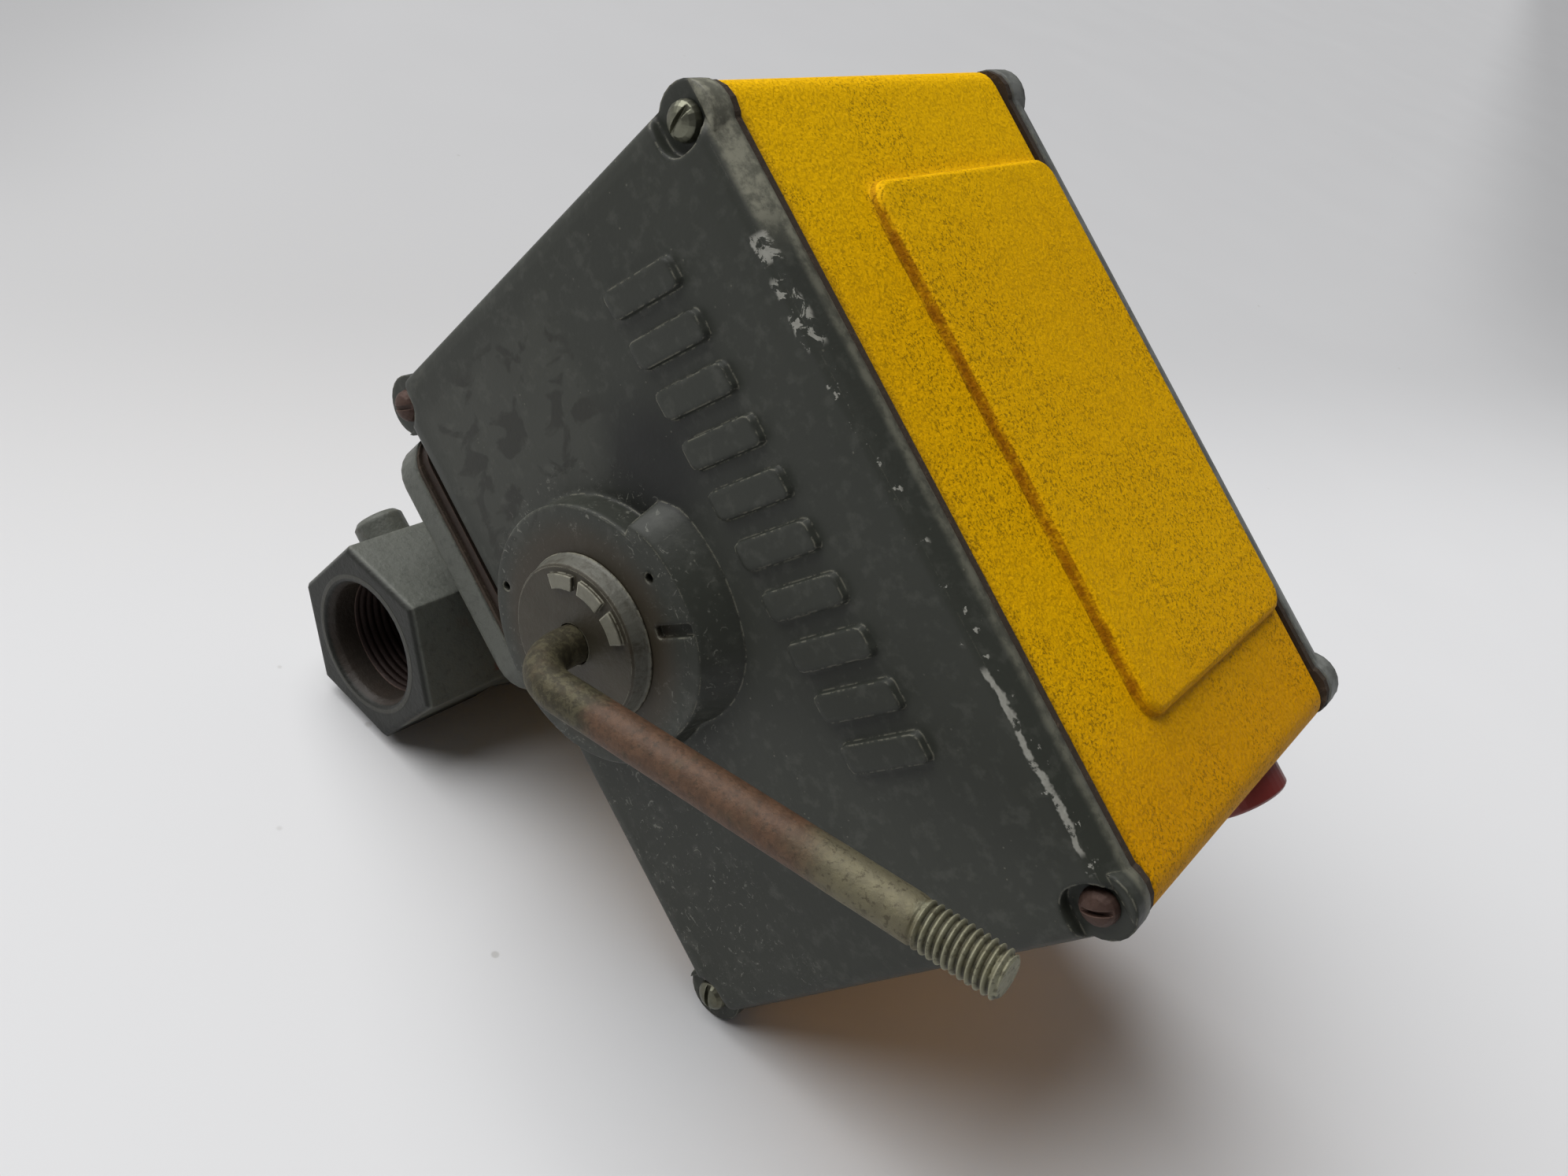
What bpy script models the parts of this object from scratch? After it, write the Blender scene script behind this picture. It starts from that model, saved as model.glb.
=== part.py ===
"""Manual-reset fuel shut-off valve: a hex-ended valve body with a latching, spring-closed actuator in a cast box.

Frame: origin at the centre of the inlet hub's end face, +Y along the pipe from inlet to outlet, +Z from the
pipe up to the actuator box's roof, +X to the right seen from the front cover. Sizes below are in millimetres
and become metres when a mesh is made.
"""

import math

import bmesh
import bpy
from mathutils import Matrix, Vector

MM = 0.001
GAP = 0.25  # between pieces that touch in the real object

# --- actuator box, seen from the front ---
BOX_CX = 38.1  # centre of the box, right of the pipe axis
RIM_W, RIM_H = 179.8, 128.2  # outline at the gaskets
FACE_W, FACE_H = 175.0, 124.6  # outline at the cover's front edge
BOX_Z0 = 49.5  # underside of the box
BOX_CZ = BOX_Z0 + RIM_H / 2
CORNER_R = 6.4
WALL = 4.2
COVER_Y0, COVER_Y1 = 9.0, 17.3
GASKET_T = 2.0
HOUSING_Y0, HOUSING_Y1 = 19.8, 121.8
BACK_Y0, BACK_Y1 = 124.3, 132.6
PANEL_X = (-23.2, 98.8)
PANEL_Y = (45.6, 119.8)
PANEL_H = 2.6
SCREW_DX = 82.8  # cover screws, from the box centre
SCREW_Z = (51.8, 171.2)  # the lower pair sits in ears below the box
EAR_R = 7.6

# --- handle, shaft and cam ---
SHAFT_X, SHAFT_Z = 29.75, 86.2
BOSS_R, BOSS_Y = 31.0, 1.4
DISC_R, DISC_Y0, DISC_Y1 = 19.1, -3.2, 1.1
SHAFT_R = 6.0
SHAFT_CLEAR = 0.08  # radial running clearance
ROD_R = 9.525 / 2
ROD_Y = -18.4  # plane of the rod's straight run
ROD_BEND_R = 12.0
ROD_ANGLE = 43.6  # above +X at rest
ROD_REACH = 122.0
HANDLE_TRAVEL = 75.0  # degrees, shut to latched open
LIFT_PER_RAD = 8.0  # involute lift cam: its base circle radius
CAM_BASE = 14.0
CAM_Y = (50.0, 58.0)

# --- valve ---
STEM_Y = 60.0
HUB_AF = 48.4
BODY_L = 120.0
HEX_L = 32.0
PORT_R = 17.0
FLANGE_X0, FLANGE_X1, FLANGE_Y0, FLANGE_Y1 = -38.5, 33.5, 9.6, 110.4
FLANGE_R = 10.0
FLANGE_Z0, FLANGE_Z1 = 37.0, 45.0
SEAT_Z = 6.5


# ---------------------------------------------------------------- helpers
for old in list(bpy.data.objects):
    bpy.data.objects.remove(old, do_unlink=True)

scene = bpy.context.scene
scene.unit_settings.system = "METRIC"


def material(name, colour, rough, metal=0.0):
    mat = bpy.data.materials.new(name)
    mat.use_nodes = True
    bsdf = mat.node_tree.nodes["Principled BSDF"]
    bsdf.inputs["Base Color"].default_value = (*colour, 1.0)
    bsdf.inputs["Roughness"].default_value = rough
    bsdf.inputs["Metallic"].default_value = metal
    return mat


FINISH = {
    "iron": ((0.10, 0.105, 0.10), 0.6, 0.3),
    "grey": ((0.13, 0.14, 0.14), 0.55, 0.0),
    "yellow": ((0.75, 0.50, 0.01), 0.5, 0.0),
    "zinc": ((0.42, 0.42, 0.34), 0.4, 0.9),
    "steel": ((0.45, 0.45, 0.45), 0.35, 1.0),
    "rust": ((0.25, 0.12, 0.08), 0.7, 0.5),
    "brass": ((0.70, 0.52, 0.22), 0.35, 1.0),
    "cork": ((0.08, 0.06, 0.045), 0.85, 0.0),
    "red": ((0.35, 0.04, 0.05), 0.45, 0.0),
    "black": ((0.03, 0.03, 0.03), 0.5, 0.0),
    "copper": ((0.55, 0.25, 0.12), 0.4, 0.8),
    "graphite": ((0.06, 0.06, 0.06), 0.7, 0.0),
}


def finish_bmesh(bm, name, finish, helper=False):
    bmesh.ops.remove_doubles(bm, verts=bm.verts, dist=1e-7)
    bmesh.ops.recalc_face_normals(bm, faces=bm.faces)
    mesh = bpy.data.meshes.new(name)
    bm.to_mesh(mesh)
    bm.free()
    obj = bpy.data.objects.new(name, mesh)
    scene.collection.objects.link(obj)
    if helper:
        obj.hide_render = True
        obj.display_type = "WIRE"
    else:
        colour, rough, metal = FINISH[finish]
        mesh.materials.append(material(name, colour, rough, metal))
        mesh.shade_smooth()
        mesh.set_sharp_from_angle(angle=math.radians(32))
    return obj


def loft(name, rings, finish=None, closed=False):
    """Skins rings of equal point count, given in mm, and caps the ends unless the loft closes on itself."""
    bm = bmesh.new()
    rows = [[bm.verts.new(Vector(p) * MM) for p in ring] for ring in rings]
    n = len(rows[0])
    pairs = list(zip(rows, rows[1:])) + ([(rows[-1], rows[0])] if closed else [])
    for a, b in pairs:
        for i in range(n):
            j = (i + 1) % n
            bm.faces.new((a[i], a[j], b[j], b[i]))
    if not closed:
        bm.faces.new(rows[0])
        bm.faces.new(list(reversed(rows[-1])))
    return finish_bmesh(bm, name, finish, helper=finish is None)


def place(axis, u, v, w):
    """Point with coordinate w along the axis and (u, v) across it: X -> (y, z), Y -> (x, z), Z -> (x, y)."""
    return {"X": (w, u, v), "Y": (u, w, v), "Z": (u, v, w)}[axis]


def circle(cu, cv, r, n, turn=0.0):
    return [
        (cu + r * math.cos(turn + 2 * math.pi * k / n), cv + r * math.sin(turn + 2 * math.pi * k / n))
        for k in range(n)
    ]


def prism(name, axis, outline, w0, w1, finish=None):
    return loft(name, [[place(axis, u, v, w) for u, v in outline] for w in (w0, w1)], finish)


def turned(name, axis, cu, cv, profile, finish=None, n=28, turn=0.0):
    """Solid of revolution: profile is a list of (radius, position along the axis)."""
    rings = [[place(axis, u, v, w) for u, v in circle(cu, cv, r, n, turn)] for r, w in profile]
    return loft(name, rings, finish)


def ring(name, axis, cu, cv, r_in, r_out, w0, w1, finish, n=28, chamfer=0.0):
    c = chamfer
    prof = [(r_in, w0), (r_out - c, w0)]
    if c:
        prof += [(r_out, w0 + c), (r_out, w1 - c)]
    prof += [(r_out - c, w1), (r_in, w1)]
    rings = [[place(axis, u, v, w) for u, v in circle(cu, cv, r, n)] for r, w in prof]
    return loft(name, rings, finish, closed=True)


def rounded(u0, u1, v0, v1, r, n=5):
    """Rounded rectangle outline, counter-clockwise, n+1 points a corner."""
    pts = []
    for cu, cv, a0 in ((u1 - r, v1 - r, 0), (u0 + r, v1 - r, 90), (u0 + r, v0 + r, 180), (u1 - r, v0 + r, 270)):
        for k in range(n + 1):
            a = math.radians(a0 + 90 * k / n)
            pts.append((cu + r * math.cos(a), cv + r * math.sin(a)))
    return pts


def hexagon(cu, cv, across_flats, point_up=True):
    r = across_flats / math.sqrt(3)
    return circle(cu, cv, r, 6, math.radians(30 if point_up else 0))


def boolean(obj, other, operation):
    mod = obj.modifiers.new(f"{operation.lower()}_{other.name}", "BOOLEAN")
    mod.operation = operation
    mod.object = other
    mod.solver = "EXACT"
    return obj


def cut(obj, *others):
    for other in others:
        boolean(obj, other, "DIFFERENCE")
    return obj


def join(obj, *others):
    for other in others:
        boolean(obj, other, "UNION")
    return obj


def drill(name, axis, cu, cv, r, w0, w1, n=24):
    return turned(name, axis, cu, cv, [(r, w0), (r, w1)], n=n)


def tube_between(name, a, b, r, finish=None, n=24):
    a, b = Vector(a), Vector(b)
    d = (b - a).normalized()
    u = d.orthogonal().normalized()
    v = d.cross(u)
    rings = []
    for c in (a, b):
        rings.append([tuple(c + r * (math.cos(t) * u + math.sin(t) * v)) for t in (2 * math.pi * k / n for k in range(n))])
    return loft(name, rings, finish)


def swept(name, points, r, finish, n=12):
    """Round bar along a polyline in mm, with the cross-section carried without twist."""
    pts = [Vector(p) for p in points]
    tangents = []
    for i in range(len(pts)):
        a = pts[max(i - 1, 0)]
        b = pts[min(i + 1, len(pts) - 1)]
        tangents.append((b - a).normalized())
    side = tangents[0].orthogonal().normalized()
    rings = []
    for i, (p, t) in enumerate(zip(pts, tangents)):
        if i:
            side = (side - t * side.dot(t)).normalized()
        up = t.cross(side)
        rings.append([tuple(p + r * (math.cos(q) * side + math.sin(q) * up)) for q in (2 * math.pi * k / n for k in range(n))])
    return loft(name, rings, finish)


def origin_to(obj, x, y, z):
    """Moves the object's origin onto its joint axis and leaves its shape where it is."""
    off = Vector((x, y, z)) * MM
    obj.data.transform(Matrix.Translation(-off))
    obj.location = off
    return obj


# ---------------------------------------------------------------- valve body
body = loft(
    "valve_body",
    [
        [place("Y", u, v, w) for u, v in hexagon(0, 0, HUB_AF - s)]
        for s, w in ((2.4, 0.0), (0.0, 1.2), (0.0, HEX_L))
    ],
    "iron",
)
hub_out = loft(
    "hub_out_solid",
    [
        [place("Y", u, v, w) for u, v in hexagon(0, 0, HUB_AF - s)]
        for s, w in ((0.0, BODY_L - HEX_L), (0.0, BODY_L - 1.2), (2.4, BODY_L))
    ],
)
belly = turned(
    "belly_solid", "Y", 0, 0, [(23.6, HEX_L - 4), (26.0, HEX_L + 6), (27.0, STEM_Y), (26.0, BODY_L - HEX_L - 6), (23.6, BODY_L - HEX_L + 4)], n=36
)
column = prism("column_solid", "Z", rounded(-28, 28, 31, 89, 16), 0, FLANGE_Z0 + 2)
flange = prism("flange_solid", "Z", rounded(FLANGE_X0, FLANGE_X1, FLANGE_Y0, FLANGE_Y1, FLANGE_R, n=6), FLANGE_Z0, FLANGE_Z1)
stub = turned("stub_solid", "X", 19, 3.5, [(7.2, -20), (7.0, -30.6), (5.8, -31.9)], n=24)
join(body, hub_out, belly, column, flange, stub)
cut(
    body,
    turned("inlet_port", "Y", 0, 0, [(PORT_R + 1.7, -0.6), (PORT_R, 2.4), (PORT_R - 0.5, 21.0)], n=36),
    turned("outlet_port", "Y", 0, 0, [(PORT_R - 0.5, BODY_L - 21.0), (PORT_R, BODY_L - 2.4), (PORT_R + 1.7, BODY_L + 0.6)], n=36),
    tube_between("inlet_way", (0, 16, 0.8), (0, 56, -12.0), 8.6),
    tube_between("outlet_way", (0, 66, 17.0), (0, 105, -1.0), 9.2),
    drill("lower_chamber", "Z", 0, STEM_Y, 14.0, -19.0, -3.0),
    drill("seat_hole", "Z", 0, STEM_Y, 12.6, -3.6, 2.0),
    drill("seat_pocket", "Z", 0, STEM_Y, 16.1, 1.2, 5.0),
    drill("upper_chamber", "Z", 0, STEM_Y, 20.2, 4.2, FLANGE_Z1 + 1, n=36),
    drill("stub_hole", "X", 19, 3.5, 4.1, -33, -25.5, n=16),
)
BOLTS = [(sx * 26.0, STEM_Y + sy * 33.0) for sx in (-1, 1) for sy in (-1, 1)]
for i, (bx, by) in enumerate(BOLTS):
    cut(body, drill(f"flange_tap_{i}", "Z", bx, by, 3.2, 38.5, FLANGE_Z1 + 1, n=16))

side_plug = turned("side_plug", "X", 19, 3.5, [(3.85, -31.3), (3.85, -26.0)], "zinc", n=16)
cut(side_plug, prism("side_plug_socket", "X", hexagon(19, 3.5, 4.0), -32, -28.6))
seat_ring = ring("seat_ring", "Z", 0, STEM_Y, 12.0, 15.8, 1.5, SEAT_Z, "steel", n=32, chamfer=0.6)
disc = turned("valve_disc", "Z", 0, STEM_Y, [(13.4, SEAT_Z + GAP), (15.2, SEAT_Z + 1.6), (15.2, 11.6), (9.0, 13.0)], "steel", n=32)
cut(disc, drill("disc_hole", "Z", 0, STEM_Y, 4.25, 0, 20, n=20))
disc_nut = prism("disc_nut", "Z", hexagon(0, STEM_Y, 12.0), 2.2, SEAT_Z, "zinc")
cut(disc_nut, drill("disc_nut_hole", "Z", 0, STEM_Y, 4.25, 0, 20, n=20))

BONNET_Z0, BONNET_Z1 = FLANGE_Z1 + 0.2 + 1.2 + 0.2, BOX_Z0 - 0.2
bonnet_gasket = prism(
    "bonnet_gasket", "Z", rounded(FLANGE_X0 + 0.3, FLANGE_X1 - 0.3, FLANGE_Y0 + 0.3, FLANGE_Y1 - 0.3, FLANGE_R, n=6), FLANGE_Z1 + 0.2, FLANGE_Z1 + 1.4, "cork"
)
bonnet = prism("bonnet", "Z", rounded(FLANGE_X0 + 1.0, FLANGE_X1 - 1.0, FLANGE_Y0 + 1.2, FLANGE_Y1 - 1.2, FLANGE_R - 1, n=6), BONNET_Z0, BONNET_Z1, "rust")
join(bonnet, drill("bonnet_hub", "Z", 0, STEM_Y, 19.8, 34.0, BONNET_Z1 - 0.6, n=32))
cut(
    bonnet,
    drill("bonnet_bore", "Z", 0, STEM_Y, 6.3, 30, 60),
    drill("packing_bore", "Z", 0, STEM_Y, 10.2, 37.0, 60),
)
cut(bonnet_gasket, drill("bonnet_gasket_bore", "Z", 0, STEM_Y, 20.4, 40, 50, n=32))
for i, (bx, by) in enumerate(BOLTS):
    hole = drill(f"bonnet_bolt_hole_{i}", "Z", bx, by, 3.4, 40, 60, n=16)
    cut(bonnet, hole)
    cut(bonnet_gasket, hole)
packing = ring("stem_packing", "Z", 0, STEM_Y, 6.25, 9.9, 37.3, 44.0, "graphite", n=24)
gland = turned("gland_nut", "Z", 0, STEM_Y, [(9.9, 44.3), (9.9, 55.0)], "brass", n=24)
join(gland, prism("gland_hex", "Z", hexagon(0, STEM_Y, 24.0), 54.2, 60.5))
cut(gland, drill("gland_bore", "Z", 0, STEM_Y, 6.3, 40, 70))

# ---------------------------------------------------------------- actuator housing
RX0, RX1 = BOX_CX - RIM_W / 2, BOX_CX + RIM_W / 2
RZ0, RZ1 = BOX_Z0, BOX_Z0 + RIM_H
FLOOR_Z = RZ0 + WALL
ROOF_Z = RZ1 - WALL
PLUG_Y, PLUG_Z = 92.5, 161.4

housing = loft(
    "housing",
    [
        [place("Y", u, v, w) for u, v in rounded(RX0 + s, RX1 - s, RZ0 + s, RZ1 - s, CORNER_R - s, n=6)]
        for s, w in ((0.5, HOUSING_Y0), (0.0, HOUSING_Y0 + 1.5), (0.0, HOUSING_Y1 - 3.0), (0.9, HOUSING_Y1 - 0.9), (2.2, HOUSING_Y1))
    ],
    "yellow",
)
panel = loft(
    "panel_solid",
    [
        [place("Z", u, v, w) for u, v in rounded(PANEL_X[0] - s, PANEL_X[1] + s, PANEL_Y[0] - s, PANEL_Y[1] + s, 5.0 + s, n=5)]
        for s, w in ((1.6, RZ1 - 1.5), (1.1, RZ1 + 0.2), (0.0, RZ1 + PANEL_H - 0.6), (-0.9, RZ1 + PANEL_H))
    ],
)
join(housing, panel)
cut(
    housing,
    prism("housing_hollow", "Y", rounded(RX0 + WALL, RX1 - WALL, FLOOR_Z, ROOF_Z, 16, n=6), HOUSING_Y0 - 2, HOUSING_Y1 + 2),
    drill("gland_opening", "Z", 0, STEM_Y, 14.5, RZ0 - 2, FLOOR_Z + 2),
    drill("conduit_hole", "X", PLUG_Y, PLUG_Z, 10.0, RX1 - WALL - 9, RX1 + 2),
)
for i, (bx, by) in enumerate(BOLTS):
    cut(housing, drill(f"floor_bolt_hole_{i}", "Z", bx, by, 3.4, RZ0 - 2, FLOOR_Z + 2, n=16))
FRAME_SCREWS = [(-18.0, 87.0), (66.0, 87.0)]
for i, (fx, fy) in enumerate(FRAME_SCREWS):
    cut(housing, drill(f"frame_screw_tap_{i}", "Z", fx, fy, 2.2, RZ0 + 0.8, FLOOR_Z + 2, n=14))
CORNERS = [(BOX_CX + sx * SCREW_DX, z) for sx in (-1, 1) for z in SCREW_Z]
CORNER_NAMES = ["bottom_left", "top_left", "bottom_right", "top_right"]
for i, (cx, cz) in enumerate(CORNERS):
    if cz < BOX_CZ:
        for end, ys in (("front", (HOUSING_Y0, HOUSING_Y0 + 13.0, HOUSING_Y0 + 20.0)), ("back", (HOUSING_Y1, HOUSING_Y1 - 13.0, HOUSING_Y1 - 20.0))):
            ear = loft(f"housing_{end}_ear_{i}", [[place("Y", u, v, w) for u, v in circle(cx, cz + lift, r, 20)] for r, lift, w in ((EAR_R, 0, ys[0]), (EAR_R, 0, ys[1]), (EAR_R - 2.6, 3.2, ys[2]))])
            join(housing, ear)
    cut(
        housing,
        drill(f"front_tap_{i}", "Y", cx, cz, 2.1, HOUSING_Y0 - 1, HOUSING_Y0 + 15, n=14),
        drill(f"back_tap_{i}", "Y", cx, cz, 2.1, HOUSING_Y1 - 15, HOUSING_Y1 + 1, n=14),
    )


def gasket(name, y0, inset):
    g = prism(name, "Y", rounded(RX0 + 0.3, RX1 - 0.3, RZ0 + 0.3, RZ1 - 0.3, CORNER_R - 0.3, n=6), y0, y0 + GASKET_T, "cork")
    for i, (cx, cz) in enumerate(CORNERS):
        join(g, drill(f"{name}_ear_{i}", "Y", cx, cz, EAR_R - 0.3, y0, y0 + GASKET_T, n=16))
    cut(g, prism(f"{name}_window", "Y", rounded(RX0 + inset, RX1 - inset, RZ0 + inset, RZ1 - inset, 16, n=6), y0 - 1, y0 + GASKET_T + 1))
    for i, (cx, cz) in enumerate(CORNERS):
        cut(g, drill(f"{name}_hole_{i}", "Y", cx, cz, 2.4, y0 - 1, y0 + GASKET_T + 1, n=14))
    return g


gasket("front_gasket", COVER_Y1 + 0.25, 5.5)
gasket("back_gasket", HOUSING_Y1 + 0.25, 5.5)


# ---------------------------------------------------------------- covers
def cover_rings(y_rim, y_face, top_slope):
    """Outlines of a shallow cast cover from its rim to its face: drafted side, rounded edge, flat face."""
    step = 1 if y_face > y_rim else -1
    depth = abs(y_face - y_rim)
    fx0, fx1 = BOX_CX - FACE_W / 2, BOX_CX + FACE_W / 2
    fz0, fz1 = BOX_CZ - FACE_H / 2, BOX_CZ + FACE_H / 2
    rows = []
    for t, x0, x1, z0, z1, r in (
        (0.0, RX0, RX1, RZ0, RZ1, CORNER_R),
        (1.6, RX0, RX1, RZ0, RZ1, CORNER_R),
        (depth - 2.2, fx0 - 0.2, fx1 + 0.2, fz0 - 0.2, fz1 + 0.2, CORNER_R - 0.5),
        (depth - 0.9, fx0 + 0.7, fx1 - 0.7, fz0 + 0.7, fz1 - 0.7, CORNER_R - 1.0),
        (depth - 0.35, fx0 + 1.9, fx1 - 1.9, fz0 + 1.9, fz1 - 1.9, CORNER_R - 1.8),
        (depth, fx0 + 4.0, fx1 - 4.0, fz0 + 4.0, fz1 - 4.0 - top_slope, CORNER_R - 2.9),
    ):
        rows.append([place("Y", u, v, y_rim + step * t) for u, v in rounded(x0, x1, z0, z1, r, n=6)])
    return rows


front_cover = loft("front_cover", cover_rings(COVER_Y1, COVER_Y0, 3.6), "grey")
# Round boss for the shaft, with a raised stop sector of larger radius on its upper right.
boss = turned("boss_solid", "Y", SHAFT_X, SHAFT_Z, [(BOSS_R + 0.6, COVER_Y0 + 2), (BOSS_R, BOSS_Y + 0.3), (BOSS_R - 0.4, BOSS_Y)], n=64)


def sector_outline(extra):
    """Sector from 118 to 22 degrees whose radius falls back to the boss at its lower end."""
    pts = [(SHAFT_X, SHAFT_Z)]
    for k in range(25):
        a = 118 - 96 * k / 24
        fall = max(0.0, (62 - a) / 40.0)
        rise = min(1.0, 0.72 + (118 - a) / 32.0)
        r = BOSS_R + extra * rise * (1 - fall**1.5)
        pts.append((SHAFT_X + r * math.cos(math.radians(a)), SHAFT_Z + r * math.sin(math.radians(a))))
    return list(reversed(pts))


sector = loft(
    "boss_sector_solid",
    [[place("Y", u, v, w) for u, v in sector_outline(e)] for e, w in ((10.2, COVER_Y0 + 2), (9.4, COVER_Y0 - 0.5), (3.2, BOSS_Y + 0.02))],
)
join(front_cover, boss, sector)
# Plain raised bars of one height in a row across the face.
BAR_Z0, BAR_Z1, BAR_T = 134.5, 154.5, 1.7
BARS = [(-29.5 + 11.6 * k, 6.4) for k in range(10)]
for i, (bx, bw) in enumerate(BARS):
    lean = 3.0
    bar = loft(
        f"bar_solid_{i}",
        [
            [
                place("Y", u + lean * (v - BAR_Z0) / (BAR_Z1 - BAR_Z0), v, w)
                for u, v in rounded(bx - s, bx + bw + s, BAR_Z0 - s, BAR_Z1 + s, 1.4, n=2)
            ]
            for s, w in ((0.5, COVER_Y0 + 1.2), (0.0, COVER_Y0 - BAR_T))
        ],
    )
    join(front_cover, bar)
cut(
    front_cover,
    prism("cover_hollow", "Y", rounded(RX0 + 6.2, RX1 - 6.2, RZ0 + 6.2, RZ1 - 6.2, 16, n=6), COVER_Y0 + 3.6, COVER_Y1 + 2),
    drill("bush_hole", "Y", SHAFT_X, SHAFT_Z, 9.2, BOSS_Y - 2, COVER_Y1 + 2, n=32),
    drill("boss_hole_a", "Y", SHAFT_X + 27.5 * math.cos(math.radians(-138)), SHAFT_Z + 27.5 * math.sin(math.radians(-138)), 1.2, BOSS_Y - 1, BOSS_Y + 4, n=12),
    drill("boss_hole_b", "Y", SHAFT_X + 28.0 * math.cos(math.radians(98)), SHAFT_Z + 28.0 * math.sin(math.radians(98)), 1.2, BOSS_Y - 1, BOSS_Y + 4, n=12),
)
groove = prism("boss_groove", "Y", rounded(22.8, 33.8, -1.5, 1.5, 0.5, n=1), BOSS_Y - 1, BOSS_Y + 1.8)
groove.data.transform(Matrix.Translation(Vector((SHAFT_X, 0, SHAFT_Z)) * MM) @ Matrix.Rotation(math.radians(-72.5), 4, "Y"))
cut(front_cover, groove)

back_cover = loft("back_cover", cover_rings(BACK_Y0, BACK_Y1, 0.0), "grey")
cut(back_cover, prism("back_hollow", "Y", rounded(RX0 + 6.2, RX1 - 6.2, RZ0 + 6.2, RZ1 - 6.2, 16, n=6), BACK_Y0 - 2, BACK_Y1 - 3.6))
POCKET_Y = COVER_Y0 + 3.4
BACK_POCKET_Y = BACK_Y1 - 3.4
for i, (cx, cz) in enumerate(CORNERS):
    sx, top = (1 if cx > BOX_CX else -1), cz > BOX_CZ
    # Each screw head sits in a pocket: the upper ones break out of the end side, the lower ones out of the underside.
    for which, cover, y0, y1 in (("front", front_cover, COVER_Y0 - 2, POCKET_Y), ("back", back_cover, BACK_POCKET_Y, BACK_Y1 + 2)):
        ear_y = (POCKET_Y - 1.0, COVER_Y1) if which == "front" else (BACK_Y0, BACK_POCKET_Y + 1.0)
        join(cover, drill(f"{which}_cover_ear_{i}", "Y", cx, cz, EAR_R, *ear_y, n=24))
        if top:
            outline = rounded(cx - 5.8, cx + 14.0, cz - 6.6, cz + 5.2, 5.0, n=5) if sx > 0 else rounded(cx - 14.0, cx + 5.8, cz - 6.6, cz + 5.2, 5.0, n=5)
        else:
            outline = rounded(cx - 12.0, cx + 5.8, cz - 14.0, cz + 5.6, 5.2, n=5) if sx < 0 else rounded(cx - 5.8, cx + 12.0, cz - 14.0, cz + 5.6, 5.2, n=5)
        cut(cover, prism(f"{which}_pocket_{i}", "Y", outline, y0, y1))
        cut(cover, drill(f"{which}_hole_{i}", "Y", cx, cz, 2.4, min(y0, COVER_Y0) if which == "front" else BACK_Y0 - 2, COVER_Y1 + 2 if which == "front" else BACK_Y1 + 2, n=14))


def slotted_screw(name, cx, cz, y_seat, out, length, head_r, head_h, finish):
    """Round-head slotted screw: out is -1 when its head faces -Y."""
    prof = []
    for k in range(5):
        a = math.radians(90 * k / 4)
        prof.append((max(head_r * math.sin(a), 0.4), y_seat + out * (0.5 + head_h * math.cos(a))))
    prof += [(head_r, y_seat), (1.95, y_seat), (1.95, y_seat - out * (length - 0.8)), (1.3, y_seat - out * length)]
    screw = turned(name, "Y", cx, cz, prof, finish, n=18)
    tilt = math.radians(35 + 40 * (hash_name(name) % 3))
    slot = prism(f"{name}_slot", "Y", [(-6, -0.6), (6, -0.6), (6, 0.6), (-6, 0.6)], y_seat + out * (head_h - 1.1), y_seat + out * (head_h + 3))
    slot.data.transform(Matrix.Translation(Vector((cx, 0, cz)) * MM) @ Matrix.Rotation(tilt, 4, "Y"))
    bmesh_fix(slot)
    cut(screw, slot)
    return screw


def hash_name(name):
    return sum(ord(c) for c in name)


def bmesh_fix(obj):
    bm = bmesh.new()
    bm.from_mesh(obj.data)
    bmesh.ops.recalc_face_normals(bm, faces=bm.faces)
    bm.to_mesh(obj.data)
    bm.free()


for (cx, cz), corner in zip(CORNERS, CORNER_NAMES):
    slotted_screw(f"front_screw_{corner}", cx, cz, POCKET_Y - 0.25, -1, 20.0, 4.05, 2.9, "rust")
    slotted_screw(f"back_screw_{corner}", cx, cz, BACK_POCKET_Y + 0.25, 1, 20.0, 4.05, 2.9, "zinc")

# ---------------------------------------------------------------- handle, shaft, cam
ring("shaft_bush_front", "Y", SHAFT_X, SHAFT_Z, SHAFT_R + SHAFT_CLEAR, 8.95, BOSS_Y + 0.4, COVER_Y1 - 1.0, "brass", n=48)
FRAME_Y = (76.0, 79.0)
ring("shaft_bush_rear", "Y", SHAFT_X, SHAFT_Z, SHAFT_R + SHAFT_CLEAR, 8.95, FRAME_Y[0] - 1.0, FRAME_Y[1] + 1.5, "brass", n=48)
shaft = turned("handle_shaft", "Y", SHAFT_X, SHAFT_Z, [(5.4, 1.4), (SHAFT_R, 2.0), (SHAFT_R, 84.0), (5.2, 84.8)], "zinc", n=48)
shaft_ring = ring("shaft_ring", "Y", SHAFT_X, SHAFT_Z, SHAFT_R + 0.2, 9.0, FRAME_Y[1] + 1.8, FRAME_Y[1] + 3.0, "steel", n=24)
rotor = turned(
    "rotor_disc",
    "Y",
    SHAFT_X,
    SHAFT_Z,
    [(DISC_R + 1.1, DISC_Y1), (DISC_R + 0.6, DISC_Y1 - 0.8), (DISC_R - 0.3, DISC_Y0 + 0.5), (DISC_R - 0.9, DISC_Y0)],
    "grey",
    n=48,
)
for i, (a0, a1) in enumerate(((70, 96), (104, 130), (138, 164))):
    arc = [(SHAFT_X + r * math.cos(math.radians(a)), SHAFT_Z + r * math.sin(math.radians(a))) for r, span in ((16.8, (a0, a1)), (13.4, (a1, a0))) for a in [span[0] + (span[1] - span[0]) * k / 5 for k in range(6)]]
    join(rotor, prism(f"rotor_bar_{i}", "Y", arc, DISC_Y0 - 1.0, DISC_Y0 + 1.0))
cut(rotor, drill("rotor_hole", "Y", SHAFT_X, SHAFT_Z, ROD_R + 0.2, DISC_Y0 - 2, DISC_Y1 + 2))

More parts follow.
